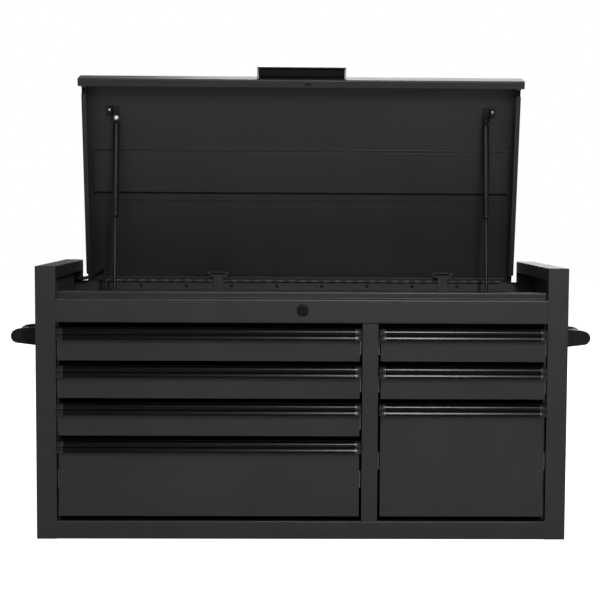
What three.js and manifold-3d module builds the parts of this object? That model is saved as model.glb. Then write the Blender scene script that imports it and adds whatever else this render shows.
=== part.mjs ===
// A top tool chest with its lid open: a folded steel case, seven drawers on telescoping slides,
// a lid on a piano hinge with two gas struts, lock bars, side handles and a power strip in the till.
// Millimetres, +Z up, front towards -Y, origin in the middle of the underside.
import * as THREE from "three";
import { mergeVertices } from "three/addons/utils/BufferGeometryUtils.js";
import Module from "manifold-3d";

const wasm = await Module();
wasm.setup();

// Case
const case_width = 1041;
const case_depth = 457;
const case_height = 536;
const sheet = 1.2;
const bend = 1.4;
const fit_gap = 0.3;
const overrun = 6;
const weld = 1e-4;

// Posts and side panels
const post_width = 40;
const skirt_drop = 24;
const stile_return = 18;

// Front frame
const ledge_drop = 62.5;
const ledge_depth = 27;
const rail_height = 47.2;
const lip_height = 13.5;
const lip_top = 10;
const lip_hem = 7;
const frame_return = 15;
const bottom_rail = 36.5;
const divider_width = 31.2;
const left_bank_share = 0.643;

// Till and back
const till_floor_drop = 103;
const till_turnup = 24;
const back_drop = 49.4;
const pan_turnup = 20;
const gusset_width = 28;
const gusset_depth = 13;
const gusset_rise = 3.4;

// Drawers
const row_pitch = 73.8;
const row_gap = 9.4;
const front_side_gap = 5;
const front_return = 10;
const small_rows = [3, 2];
const box_top_drop = 12;
const box_bottom_lift = 3;
const box_hem = 5;

// Slides
const slide_thick = 12.7;
const slide_height = 35;
const slide_short = 10;
const slide_set_back = 20;
const slide_wall = 1.2;
const slide_play = 0.35;
const fixed_reach = 9;
const middle_start = 2;
const middle_reach = 10.4;
const drawer_member_start = 4;
const upright_width = 34;
const upright_inset = 28;

// Drawer pulls
const pull_height = 23.4;
const pull_reach = 14;
const pull_plate = 1.5;
const pull_wall = 1.7;
const shoulder_radius = 8.5;
const shoulder_reach = 9.4;
const nose_radius = 5.6;
const pull_cap = 12.7;
const pull_cap_proud = 0.5;
const pull_side_gap = 1.5;

// Lid
const lid_open = THREE.MathUtils.degToRad(78.8);
const hinge_drop = 46;
const lid_set_back = 6;
const lid_side_gap = 2.5;
const lid_overhang = 6.8;
const lid_skirt = 12;
const front_hem = 16.5;
const side_hem = 10;
const cable_notch = 17.5;
const cable_notch_rise = 28;
const lip_notch_room = 2;
const flange_lift = 5;
const stiffener_inset = 158.8;
const stiffener_width = 100;
const stiffener_depth = 11;
const stiffener_flange = 14;
const stiffener_slope = 9;
const stiffener_side_gap = 16;

// Piano hinge
const knuckle_pitch = 25.4;
const knuckle_gap = 0.4;
const knuckle_radius = 3.2;
const pin_radius = 1.5;
const pin_play = 0.45;
const leaf_width = 20;
const hinge_short = 71;

// Lid handle
const lid_handle_width = 191;
const lid_handle_reach = 24;
const lid_handle_height = 22;
const lid_handle_lip = 13;
const lid_handle_wall = 1.8;
const lid_handle_nose = 2.2;
const lid_handle_cap = 3.5;
const lid_handle_low = 0;

// Gas struts
const strut_side_inset = 79.5;
const strut_lid_inset = 88.8;
const strut_lid_w = 25;
const strut_foot_back = 104;
const strut_foot_rise = 19;
const tube_radius = 7.2;
const tube_bore = 4.2;
const tube_length = 206;
const tube_head = 10;
const tube_end_wall = 4;
const strut_ball = 6.5;
const rod_radius = 3.5;
const rod_in_tube = 30;
const eye_radius = 6.5;
const eye_width = 8;
const foot_pin = 3;
const foot_plate = 2;
const foot_length = 30;
const bracket_plate = 1.6;
const bracket_width = 28;
const bracket_length = 24;
const stud_radius = 3;

// Lock
const lock_drop = 84;
const bezel_radius = 11;
const bezel_proud = 2.2;
const barrel_radius = 9;
const barrel_length = 14;
const barrel_play = 0.4;
const plug_radius = 6;
const plug_play = 0.5;
const plug_proud = 0.8;
const key_slot_width = 1.8;
const key_slot_height = 8;
const key_slot_deep = 6;
const cam_inner = 28.4;
const cam_outer = 32.4;
const cam_thick = 2;
const cam_start = THREE.MathUtils.degToRad(-40);
const cam_span = THREE.MathUtils.degToRad(70);
const cam_arm = 5;
const cam_play = 1.6;

// Lock bars
const bar_width = 22;
const bar_thick = 2;
const bar_hinge_gap = 1.5;
const bar_foot = 60;
const bar_head_rise = 20;
const bar_head_height = 11;
const bar_head_width = 50;
const bar_neck_width = 34;
const bar_head_shelf = 10;
const bar_travel = 10;
const bar_play = 0.4;
const hook_width = 20;
const hook_reach = 10;
const hook_thick = 1.5;
const hook_drop = 12;
const hook_clear = 1;
const hook_ahead = 2.6;
const guide_height = 12;
const guide_wall = 1.8;
const guide_low = 100;
const guide_high_rise = 8;
const tab_width = 30;
const tab_u = 10;
const tab_clear = 1.2;

// Side handles
const handle_reach = 72;
const handle_length = 150;
const handle_arm = 26;
const handle_radius = 14;
const handle_grip = 12.5;
const handle_root = 42;
const handle_foot = 3;
const handle_foot_over = 5;
const handle_drop = 148;

// Power strip and its cord
const strip_length = 272;
const strip_front = 58.5;
const strip_depth = 34;
const strip_height = 46;
const strip_top_drop = 28;
const strip_chamfer = 4;
const outlet_size = 27;
const outlet_deep = 1.2;
const outlet_count = 5;
const relief_length = 26;
const relief_radius = 6.5;
const cord_radius = 4;
const cord_facets = 8;
const cord_steps = 30;
const coil_centre = [-460.5, 40];
const coil_radius = 53.75;
const coil_pitch = 8.5;
const coil_turns = 2.5;
const coil_lead = 36;
const coil_steps = 24;
const coil_facets = 6;
const plug_body = [22, 34, 22];
const plug_blade = [1.6, 17, 6.3];
const plug_blade_gap = 12.7;
const plug_neck = 9;

// Facets
const fold_steps = 3;
const arc_steps = 6;
const round_sides = 24;
const small_sides = 12;
const knuckle_sides = 8;

// Places worked out from the driving dimensions
const half = case_width / 2;
const front = -case_depth / 2;
const back = case_depth / 2;
const post_inner = half - post_width;
const wall_inner = half - sheet - fit_gap;
const ledge_z = case_height - ledge_drop;
const opening_top = ledge_z - rail_height;
const lip_z = ledge_z + lip_height;
const till_z = case_height - till_floor_drop;
const back_plane = back - 2 * sheet - fit_gap;
const inner_back = back_plane - sheet - 2 * fit_gap - bend;
const back_half = wall_inner - bend;
const hinge_y = back_plane - fit_gap - knuckle_radius;
const hinge_z = case_height - hinge_drop;
const lip_y = front + ledge_depth;
const bank_room = 2 * post_inner - divider_width;
const divider_left = -post_inner + bank_room * left_bank_share;
const divider_right = divider_left + divider_width;
const banks = [
  { name: "left", left: -post_inner, right: divider_left, small: small_rows[0] },
  { name: "right", left: divider_right, right: post_inner, small: small_rows[1] },
];

// Finishes
const finish = (color, roughness, metalness) => ({ color, roughness, metalness });
const charcoal = finish(0x333435, 0.42, 0.1);
const black_gloss = finish(0x101011, 0.3, 0.1);
const black_plastic = finish(0x161617, 0.5, 0);
const zinc = finish(0x9b9c9e, 0.4, 0.9);
const steel = finish(0xb8b9ba, 0.3, 1);

const root = new THREE.Group();
const lid_group = new THREE.Group();
lid_group.position.set(0, hinge_y, hinge_z);
lid_group.rotation.x = -lid_open;
root.add(lid_group);

// Solids from three.js geometry

function solid(geometry) {
  const plain = geometry.clone();
  plain.deleteAttribute("normal");
  plain.deleteAttribute("uv");
  const merged = mergeVertices(plain, weld);
  const vertProperties = merged.attributes.position.array;
  const triVerts = new Uint32Array(merged.index.array);
  return new wasm.Manifold(new wasm.Mesh({ numProp: 3, vertProperties, triVerts }));
}

function join(...solids) {
  return solids.flat().reduce((sum, next) => sum.add(next));
}

function cut(body, ...tools) {
  return tools.flat().reduce((rest, tool) => rest.subtract(tool), body);
}

function place(name, made, look, group = root) {
  const mesh = made.getMesh();
  const geometry = new THREE.BufferGeometry();
  geometry.setAttribute("position", new THREE.BufferAttribute(mesh.vertProperties, 3));
  geometry.setIndex(new THREE.BufferAttribute(mesh.triVerts, 1));
  geometry.computeVertexNormals();
  const part = new THREE.Mesh(geometry, new THREE.MeshStandardMaterial(look));
  part.name = name;
  group.add(part);
  return part;
}

const ordered = (span) => [Math.min(...span), Math.max(...span)];

function block(xs, ys, zs) {
  const spans = [xs, ys, zs].map(ordered);
  const sizes = spans.map(([low, high]) => high - low);
  const middles = spans.map(([low, high]) => (low + high) / 2);
  return solid(new THREE.BoxGeometry(...sizes).translate(...middles));
}

// An outline in the plane across an axis, drawn out along it: (y, z) for x, (x, z) for y, (x, y) for z
const across = {
  x: [new THREE.Vector3(0, 1, 0), new THREE.Vector3(0, 0, 1), new THREE.Vector3(1, 0, 0)],
  y: [new THREE.Vector3(1, 0, 0), new THREE.Vector3(0, 0, 1), new THREE.Vector3(0, -1, 0)],
  z: [new THREE.Vector3(1, 0, 0), new THREE.Vector3(0, 1, 0), new THREE.Vector3(0, 0, 1)],
};

function prism(outline, axis, span) {
  const [low, high] = ordered(span);
  const shape = new THREE.Shape(outline.map(([a, b]) => new THREE.Vector2(a, b)));
  const geometry = new THREE.ExtrudeGeometry(shape, { depth: high - low, bevelEnabled: false });
  geometry.applyMatrix4(new THREE.Matrix4().makeBasis(...across[axis]));
  const start = axis === "y" ? high : low;
  geometry.translate(axis === "x" ? start : 0, axis === "y" ? start : 0, axis === "z" ? start : 0);
  return solid(geometry);
}

function arc([a, b], radius, from, to, steps = arc_steps) {
  const points = [];
  for (let i = 0; i <= steps; i++) {
    const angle = from + ((to - from) * i) / steps;
    points.push([a + radius * Math.cos(angle), b + radius * Math.sin(angle)]);
  }
  return points;
}

function disc(centre, radius, axis, span, sides = small_sides) {
  const turn = Math.PI / sides;
  return prism(arc(centre, radius, turn, 2 * Math.PI - turn, sides - 1), axis, span);
}

const rect = ([a0, a1], [b0, b1]) => [[a0, b0], [a1, b0], [a1, b1], [a0, b1]];
const flip = (outline, side) => outline.map(([a, b]) => [a * side, b]);

// Rounds the corners of an open path: each inner corner becomes an arc of its own radius
function rounded(points, radii) {
  return points.flatMap((point, i) => {
    const radius = radii[i - 1];
    if (i === 0 || i === points.length - 1 || !radius) return [point];
    const [p, q, r] = [points[i - 1], point, points[i + 1]];
    const into = Math.atan2(q[1] - p[1], q[0] - p[0]);
    const out = Math.atan2(r[1] - q[1], r[0] - q[0]);
    const turn = Math.atan2(Math.sin(out - into), Math.cos(out - into));
    const trim = radius * Math.tan(Math.abs(turn) / 2);
    const side = Math.sign(turn);
    const start = [q[0] - trim * Math.cos(into), q[1] - trim * Math.sin(into)];
    const centre = [start[0] - side * radius * Math.sin(into), start[1] + side * radius * Math.cos(into)];
    const from = into - (side * Math.PI) / 2;
    return arc(centre, radius, from, from + turn, fold_steps);
  });
}

// The path moved to its left by a distance
function shifted(points, distance) {
  const directions = points.slice(1).map((q, i) => {
    const angle = Math.atan2(q[1] - points[i][1], q[0] - points[i][0]);
    return [-Math.sin(angle), Math.cos(angle)];
  });
  return points.map(([a, b], i) => {
    const before = directions[Math.max(i - 1, 0)];
    const after = directions[Math.min(i, directions.length - 1)];
    const dot = before[0] * after[0] + before[1] * after[1];
    const scale = distance / (1 + dot);
    return [a + (before[0] + after[0]) * scale, b + (before[1] + after[1]) * scale];
  });
}

// The outline of a folded sheet: the path is one face of it, and the sheet lies to the path's left
function folded(path, thickness = sheet, bends = path.slice(2).map(() => bend)) {
  const turns = path.slice(2).map((r, i) => {
    const [p, q] = [path[i], path[i + 1]];
    return Math.sign((q[0] - p[0]) * (r[1] - q[1]) - (q[1] - p[1]) * (r[0] - q[0]));
  });
  const near = bends.map((radius, i) => (radius && turns[i] > 0 ? radius + thickness : radius));
  const far = bends.map((radius, i) => (radius && turns[i] < 0 ? radius + thickness : radius));
  return [...rounded(path, near), ...rounded(shifted(path, thickness), far).reverse()];
}

// Side panels: outer wall, front stile, rear flange and the post's top channel

function sidePanel(side) {
  const outer_bend = bend + sheet;
  const plan = [[post_inner, front + stile_return], [post_inner, front], [half, front], [half, back]];
  plan.push([post_inner, back]);
  const section = [[half, 0], [half, case_height], [post_inner, case_height]];
  section.push([post_inner, case_height - skirt_drop]);
  const section_solid = rounded([...section.slice(0, 3), [post_inner, 0]], [outer_bend, outer_bend]);
  const plan_solid = rounded([[post_inner, front], [half, front], [half, back], [post_inner, back]], [
    outer_bend,
    outer_bend,
  ]);
  const upright = prism(flip(folded(plan, sheet, [0, bend, bend]), side), "z", [0, case_height]);
  const channel = prism(flip(folded(section), side), "y", [front, back]);
  return join(
    upright.intersect(prism(flip(section_solid, side), "y", [front - overrun, back + overrun])),
    channel.intersect(prism(flip(plan_solid, side), "z", [-overrun, case_height + overrun])),
  );
}

// Front frame

const lock_z = case_height - lock_drop;
const cam_y = front + sheet + barrel_length + fit_gap;

// Where the cam's ring passes through a sheet whose underside lies this far above the lock's axis
function camSlot(height) {
  const outer = Math.sqrt(cam_outer ** 2 - height ** 2);
  const inner = Math.sqrt(cam_inner ** 2 - (height + sheet) ** 2);
  return [inner - cam_play, outer + cam_play];
}

function topRail() {
  const path = [[front + frame_return, opening_top], [front, opening_top], [front, ledge_z]];
  path.push([lip_y, ledge_z], [lip_y, lip_z], [lip_y + lip_top, lip_z], [lip_y + lip_top, lip_z - lip_hem]);
  const rail = prism(folded([...path].reverse()), "x", [-post_inner, post_inner]);
  const barrel = disc([0, lock_z], barrel_radius + barrel_play, "y", [front - overrun, front + overrun], round_sides);
  const window_y = [cam_y - cam_play, cam_y + cam_thick + cam_play];
  const slot = block(camSlot(ledge_z - sheet - lock_z), window_y, [ledge_z - overrun, ledge_z + overrun]);
  return cut(rail, barrel, slot);
}

function bottomPan() {
  const pan_back = back_plane - fit_gap;
  const path = [[front + frame_return, bottom_rail], [front, bottom_rail], [front, 0], [pan_back, 0]];
  path.push([pan_back, pan_turnup]);
  const middle = prism(folded(path), "x", [-post_inner, post_inner]);
  const plate_front = front + stile_return + fit_gap;
  const plate = block([-wall_inner, wall_inner], [plate_front, pan_back - 2 * bend], [0, sheet]);
  return join(middle, plate);
}

// Where the lock bars stand, and the back of the drawer boxes just behind the bars' hooks

const bar_y = hinge_y - knuckle_radius - bar_hinge_gap - bar_thick;
const hook_y = bar_y - hook_reach;
const box_back = hook_y + hook_thick + hook_ahead + sheet;

// Slides: three nested channels, the fixed one on the case, the middle one free, the inner one on the drawer

const slide_front = front + slide_set_back;
const slide_length = box_back - slide_short - slide_front;

function channel(start, end, height, wall_x, toward, centre_z, y) {
  const outer = prism(rect(ordered([wall_x + toward * start, wall_x + toward * end]), [
    centre_z - height / 2,
    centre_z + height / 2,
  ]), "y", y);
  return outer;
}

function fixedMember(wall_x, toward, z) {
  const y = [slide_front, slide_front + slide_length];
  const body = channel(0, fixed_reach, slide_height, wall_x, toward, z, y);
  const hollow = slide_height - 2 * slide_wall;
  const y_past = [y[0] - overrun, y[1] + overrun];
  return cut(body, channel(slide_wall, fixed_reach + overrun, hollow, wall_x, toward, z, y_past));
}

const middle_height = slide_height - 2 * (slide_wall + slide_play);
const inner_height = middle_height - 2 * (slide_wall + slide_play);

function middleMember(wall_x, toward, z) {
  const y = [slide_front, slide_front + slide_length];
  const y_past = [y[0] - overrun, y[1] + overrun];
  const body = channel(middle_start, middle_reach, middle_height, wall_x, toward, z, y);
  const hollow = middle_height - 2 * slide_wall;
  return cut(body, channel(middle_start + slide_wall, middle_reach + overrun, hollow, wall_x, toward, z, y_past));
}

function innerMember(wall_x, toward, z) {
  const y = [slide_front, slide_front + slide_length];
  const y_past = [y[0] - overrun, y[1] + overrun];
  const body = channel(drawer_member_start, slide_thick + slide_wall / 2, inner_height, wall_x, toward, z, y);
  const hollow = inner_height - 2 * slide_wall;
  const inside = slide_thick - slide_wall;
  return cut(body, channel(drawer_member_start - overrun, inside, hollow, wall_x, toward, z, y_past));
}

// Rows: each drawer's place in its bank

function rowsOf(bank) {
  const tops = Array.from({ length: bank.small + 1 }, (_, i) => opening_top - row_gap - i * row_pitch);
  return tops.map((top, i) => {
    const bottom = i < bank.small ? top - row_pitch + row_gap : bottom_rail + row_gap;
    const box = [bottom + box_bottom_lift, top - box_top_drop];
    return { top, bottom, box, slide_z: (box[0] + box[1]) / 2, name: bank.name + "_drawer_" + (i + 1) };
  });
}

function slideRack(side) {
  const bank = side < 0 ? banks[0] : banks[1];
  const web = post_inner + sheet;
  const uprights = [slide_front + upright_inset, slide_front + slide_length - upright_inset - upright_width];
  const frames = uprights.map((y) => {
    const path = [[wall_inner, y + upright_width], [web, y + upright_width], [web, y], [wall_inner, y]];
    return prism(flip(folded(path.reverse()), side), "z", [sheet + fit_gap, till_z - sheet - fit_gap]);
  });
  const members = rowsOf(bank).map((row) => {
    const plate = block(
      [side * (post_inner - slide_wall / 2), side * (web - sheet / 2)],
      [slide_front, slide_front + slide_length],
      [row.slide_z - slide_height / 2, row.slide_z + slide_height / 2],
    );
    return join(plate, fixedMember(side * post_inner, -side, row.slide_z));
  });
  const trim = block(
    [side * (web - sheet), side * (half + overrun)],
    [slide_front - overrun, slide_front + upright_inset - fit_gap],
    [0, case_height],
  );
  return join(members.map((member) => cut(member, trim)), frames);
}

function bankDivider() {
  const wall_front = front + frame_return + fit_gap;
  const path = [[divider_left, inner_back], [divider_left, front], [divider_right, front], [divider_right, inner_back]];
  const top_z = till_z - sheet - fit_gap;
  const hat = prism(folded(path, sheet, [0, 0]), "z", [sheet + fit_gap, top_z]);
  const lower = block([divider_left - overrun, divider_right + overrun], [front - overrun, wall_front], [0, bottom_rail]);
  const upper = block([divider_left - overrun, divider_right + overrun], [front - overrun, wall_front], [
    opening_top,
    case_height,
  ]);
  const left = rowsOf(banks[0]).map((row) => fixedMember(divider_left, -1, row.slide_z));
  const right = rowsOf(banks[1]).map((row) => fixedMember(divider_right, 1, row.slide_z));
  const seats = [...rowsOf(banks[0]), ...rowsOf(banks[1])];
  const studs = seats.map((row, i) => {
    const x = i < banks[0].small + 1 ? divider_left : divider_right;
    const y = [slide_front + upright_inset, slide_front + slide_length - upright_inset];
    return block([x - sheet / 2, x + sheet / 2], y, [row.slide_z - slide_wall, row.slide_z + slide_wall]);
  });
  return join(cut(hat, lower, upper), left, right, studs);
}

// Till floor and back panel, with the windows and guides of the lock bars

const bar_centres = banks.map((bank) => (bank.left + bank.right) / 2);
const guide_depth = back_plane - bar_y + bar_play + guide_wall;

function tillFloor() {
  const y0 = lip_y + sheet + fit_gap;
  const y1 = back_plane - fit_gap;
  const path = [[y0, ledge_z - sheet], [y0, till_z - sheet], [y1, till_z - sheet], [y1, till_z + till_turnup]];
  const floor = prism(folded(path), "x", [-wall_inner, wall_inner]);
  const windows = bar_centres.map((x) => {
    const half_width = bar_width / 2 + guide_wall + bar_play + fit_gap;
    const y = [back_plane - guide_depth - hook_reach, back];
    return block([x - half_width, x + half_width], y, [till_z - overrun, case_height]);
  });
  return cut(floor, windows);
}

function barGuide(x, z) {
  const reach = bar_width / 2 + bar_play;
  const y0 = back_plane - guide_depth;
  const zs = [z - guide_height / 2, z + guide_height / 2];
  const strap = block([x - reach - guide_wall, x + reach + guide_wall], [y0, back_plane + sheet / 2], zs);
  const room = block([x - reach, x + reach], [y0 + guide_wall, back_plane], [zs[0] - overrun, zs[1] + overrun]);
  return cut(strap, room);
}

function backPanel() {
  const top = case_height - back_drop;
  const panel = block([-back_half, back_half], [back_plane, back_plane + sheet], [0, top]);
  const guides = bar_centres.flatMap((x) => [guide_low, till_z + guide_high_rise].map((z) => barGuide(x, z)));
  const gussets = [-1, 1].map((side) => {
    const inside = post_inner - gusset_width;
    const outline = [[inside, back_plane + sheet], [back_half, back_plane + sheet]];
    outline.push([back_half, back_plane - gusset_depth], [post_inner, back_plane - gusset_depth]);
    const corner = block([side * inside, side * back_half], [back_plane, back_plane + sheet], [top - sheet, top + gusset_rise]);
    return join(corner, prism(flip(outline, side), "z", [top + gusset_rise - sheet, top + gusset_rise]));
  });
  return join(panel, guides, gussets);
}

// Drawers

const box_front = front + sheet;

function drawer(bank, row) {
  const xs = [bank.left + front_side_gap, bank.right - front_side_gap];
  const zs = [row.bottom, row.top];
  const tray = block(xs, [front, front + front_return], zs);
  const inset = ([low, high]) => [low + sheet, high - sheet];
  const face = cut(tray, block(inset(xs), [front + sheet, front + front_return + overrun], inset(zs)));
  const [left, right] = [bank.left + slide_thick, bank.right - slide_thick];
  const path = [[left + box_hem, row.box[1] - sheet], [left + box_hem, row.box[1]], [left, row.box[1]]];
  path.push([left, row.box[0]], [right, row.box[0]], [right, row.box[1]], [right - box_hem, row.box[1]]);
  path.push([right - box_hem, row.box[1] - sheet]);
  const shell = prism(folded(path.slice(1, -1)), "y", [box_front - sheet / 2, box_back]);
  const rear = block([left + sheet / 2, right - sheet / 2], [box_back - sheet, box_back], [
    row.box[0] + sheet / 2,
    row.box[1],
  ]);
  const members = [innerMember(bank.left, 1, row.slide_z), innerMember(bank.right, -1, row.slide_z)];
  return join(face, shell, rear, members);
}

// Drawer pull: a thin section, round at the shoulder and at the nose with a crease between, open below for the
// fingers behind the nose, and a closed cap at each end

function meeting([a, b], r, [c, d], q) {
  const apart = Math.hypot(c - a, d - b);
  const along = (r * r - q * q + apart * apart) / (2 * apart);
  const aside = Math.sqrt(r * r - along * along);
  return [a + ((c - a) * along - (d - b) * aside) / apart, b + ((d - b) * along + (c - a) * aside) / apart];
}

function pullOutline(top, grow, low) {
  const shoulder = [front - shoulder_reach + shoulder_radius, top - shoulder_radius];
  const nose = [front - pull_reach + nose_radius, top - pull_height + nose_radius];
  const crease = meeting(nose, nose_radius, shoulder, shoulder_radius);
  const facing = (centre) => Math.atan2(crease[1] - centre[1], crease[0] - centre[0]);
  const turn = 2 * Math.PI;
  const over = arc(shoulder, shoulder_radius + grow, Math.PI / 2, (facing(shoulder) + turn) % turn);
  const under = arc(nose, nose_radius + grow, (facing(nose) + turn) % turn, low);
  return [over, under];
}

function pullSection(row) {
  const [over, under] = pullOutline(row.top, 0, Math.PI * 1.5);
  const [over_inside, under_inside] = pullOutline(row.top, -pull_wall, Math.PI * 1.5);
  const plate_y = front - fit_gap - pull_plate;
  return [
    [front - fit_gap, row.top - pull_height],
    [front - fit_gap, row.top],
    ...over,
    ...under,
    ...under_inside.reverse(),
    ...over_inside.reverse(),
    [plate_y, row.top - pull_wall],
    [plate_y, row.top - pull_height],
  ];
}

function pullCapOutline(row) {
  const [over, under] = pullOutline(row.top, pull_cap_proud, Math.PI * 1.5);
  const foot = row.top - pull_height - pull_cap_proud;
  return [[front - fit_gap, foot], [front - fit_gap, row.top + pull_cap_proud], ...over, ...under];
}

function drawerPull(bank, row) {
  const xs = [bank.left + pull_side_gap, bank.right - pull_side_gap];
  const cap = pullCapOutline(row);
  return join(
    prism(pullSection(row), "x", xs),
    prism(cap, "x", [xs[0], xs[0] + pull_cap]),
    prism(cap, "x", [xs[1] - pull_cap, xs[1]]),
  );
}

// Lid, in the hinge's own frame with the lid closed: y towards the back, z up from the hinge axis

const lid_half = post_inner - lid_side_gap;
const body_half = lid_half - lid_overhang;
const lid_front = front + lid_set_back - hinge_y;
const flange_y = knuckle_radius + fit_gap;
const lid_back = flange_y + sheet;
const skin_under = hinge_drop - sheet;

function lidShell() {
  const outer_bend = bend + sheet;
  const along = [[lid_front + front_hem, -lid_skirt], [lid_front, -lid_skirt], [lid_front, hinge_drop]];
  along.push([lid_back, hinge_drop], [lid_back, flange_lift]);
  const along_outline = folded([...along].reverse());
  const over = [[body_half - side_hem, -lid_skirt], [body_half, -lid_skirt], [body_half, hinge_drop]];
  const wide = [...over, ...over.map(([x, z]) => [-x, z]).reverse()];
  const across_outline = folded(wide);
  const corner = [outer_bend, outer_bend];
  const across_solid = rounded([[body_half, -lid_skirt], [body_half, hinge_drop], [-body_half, hinge_drop],
    [-body_half, -lid_skirt]], corner);
  const along_solid = rounded([[lid_back, -lid_skirt], [lid_back, hinge_drop], [lid_front, hinge_drop],
    [lid_front, -lid_skirt]], corner);
  const skin = prism(along_outline, "x", [-body_half, body_half]);
  const sides = prism(across_outline, "y", [lid_front + sheet / 2, lid_back]);
  const ears = [[lid_front + front_hem, -lid_skirt], [lid_front, -lid_skirt], [lid_front, hinge_drop]];
  ears.push([lid_front + lid_overhang, hinge_drop]);
  return join(
    skin.intersect(prism(across_solid, "y", [lid_front - overrun, lid_back + overrun])),
    sides.intersect(prism(along_solid, "x", [-half, half])),
    prism(folded(ears.reverse()), "x", [-lid_half, lid_half]),
  );
}

function lid() {
  const lip_gap = lip_y - hinge_y;
  const notches = [-1, 1].flatMap((side) => {
    const xs = [side * (body_half - side_hem - overrun), side * (body_half + overrun)];
    const over_lip = [lip_gap - lip_notch_room, lip_gap + lip_top + lip_notch_room];
    return [
      block(xs, [-cable_notch, lid_back + overrun], [-lid_skirt - overrun, cable_notch_rise - lid_skirt]),
      block(xs, over_lip, [-lid_skirt - overrun, lip_z + lip_notch_room - hinge_z]),
    ];
  });
  const tabs = bar_centres.map((x) => {
    const low = bar_head_rise - bar_travel + tab_clear;
    return block([x - tab_width / 2, x + tab_width / 2], [-tab_u - sheet, -tab_u], [low, hinge_drop - sheet / 2]);
  });
  const window_y = [cam_y - cam_play, cam_y + cam_thick + cam_play].map((y) => y - hinge_y);
  const hem_height = hinge_z - lid_skirt - lock_z;
  const cam_window = block(camSlot(hem_height), window_y, [-lid_skirt - overrun, -lid_skirt + overrun]);
  return join(cut(lidShell(), notches, cam_window), tabs);
}

function lidStiffener() {
  const reach = body_half - stiffener_side_gap;
  const z = skin_under - fit_gap;
  const near = lid_front + stiffener_inset;
  const far = near + stiffener_width;
  const path = [[far + stiffener_flange, z], [far, z], [far - stiffener_slope, z - stiffener_depth]];
  path.push([near + stiffener_slope, z - stiffener_depth], [near, z], [near - stiffener_flange, z]);
  return prism(folded(path.reverse().map(([y, up]) => [y, up - sheet])), "x", [-reach, reach]);
}

function lidHandle() {
  const face = lid_front - fit_gap;
  const top = lid_handle_low + lid_handle_height;
  const tip_low = top - lid_handle_lip;
  const out = face - lid_handle_reach;
  const nose = [out + lid_handle_nose, tip_low + lid_handle_nose];
  const corner = lid_handle_nose * 2;
  const section = [
    [face, lid_handle_low],
    [face, top],
    ...arc([out + corner, top - corner], corner, Math.PI / 2, Math.PI),
    ...arc(nose, lid_handle_nose, Math.PI, Math.PI * 2),
    [nose[0] + lid_handle_nose, top - corner],
    [out + corner + lid_handle_wall, top - lid_handle_wall],
    [face - lid_handle_wall, top - lid_handle_wall],
    [face - lid_handle_wall, lid_handle_low],
  ];
  const cap = [
    [face, lid_handle_low],
    [face, top],
    ...arc([out + corner, top - corner], corner, Math.PI / 2, Math.PI),
    ...arc(nose, lid_handle_nose, Math.PI, Math.PI * 1.5),
  ];
  const reach = lid_handle_width / 2;
  return join(
    prism(section, "x", [-reach, reach]),
    prism(cap, "x", [-reach, -reach + lid_handle_cap]),
    prism(cap, "x", [reach - lid_handle_cap, reach]),
  );
}

// Piano hinge: the body leaf carries the pin, the lid leaf's knuckles turn on it

const pairs = Math.floor((2 * post_inner - hinge_short) / knuckle_pitch);
const hinge_half = (pairs * knuckle_pitch) / 2;

function knuckleSpans(odd) {
  return Array.from({ length: pairs }, (_, i) => {
    const start = -hinge_half + i * knuckle_pitch + (odd ? knuckle_pitch / 2 : 0);
    return [start + knuckle_gap / 2, start + knuckle_pitch / 2 - knuckle_gap / 2];
  });
}

function hingeLeaf(odd, up) {
  const inner = knuckle_radius - sheet;
  const root_z = up * (knuckle_radius + fit_gap * 2);
  const plate = block([-hinge_half, hinge_half], [inner, knuckle_radius], [root_z, up * leaf_width]);
  const knuckles = knuckleSpans(odd).map((span) => join(
    block(span, [inner, knuckle_radius], [0, root_z + up * overrun]),
    disc([0, 0], knuckle_radius, "x", span, knuckle_sides),
  ));
  return join(plate, knuckles);
}

function hingeBodyLeaf() {
  const pin = disc([0, 0], pin_radius, "x", [-hinge_half, hinge_half], knuckle_sides);
  return join(hingeLeaf(false, -1), pin);
}

function hingeLidLeaf() {
  const bore_span = [-hinge_half - overrun, hinge_half + overrun];
  return cut(hingeLeaf(true, 1), disc([0, 0], pin_radius + pin_play, "x", bore_span, knuckle_sides));
}

// Gas struts: along +Z from the foot pivot, turned to lean towards the lid's ball

const strut_x = post_inner - strut_side_inset;
const strut_lid_u = -lid_front - strut_lid_inset;
const foot = [hinge_y - strut_foot_back, till_z + strut_foot_rise];
const ball_y = hinge_y - strut_lid_u * Math.cos(lid_open) + strut_lid_w * Math.sin(lid_open);
const ball_z = hinge_z + strut_lid_u * Math.sin(lid_open) + strut_lid_w * Math.cos(lid_open);
const strut_length = Math.hypot(ball_y - foot[0], ball_z - foot[1]);
const strut_lean = -Math.atan2(ball_y - foot[0], ball_z - foot[1]);

function strutGroup(side) {
  const group = new THREE.Group();
  group.position.set(side * strut_x, foot[0], foot[1]);
  group.rotation.x = strut_lean;
  root.add(group);
  return group;
}

function turned(points, z) {
  const profile = points.map(([radius, height]) => new THREE.Vector2(radius, height));
  const geometry = new THREE.LatheGeometry(profile, small_sides);
  geometry.rotateX(Math.PI / 2);
  return solid(geometry.translate(0, 0, z));
}

function strutRod() {
  const end = strut_length - tube_head - tube_length + rod_in_tube;
  const bar = turned([[0, 0], [rod_radius, 0], [rod_radius, end], [0, end]], 0);
  const eye = disc([0, 0], eye_radius, "x", [-eye_width / 2, eye_width / 2]);
  const bore = disc([0, 0], foot_pin + fit_gap, "x", [-eye_width, eye_width]);
  return cut(join(bar, eye), bore);
}

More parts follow.
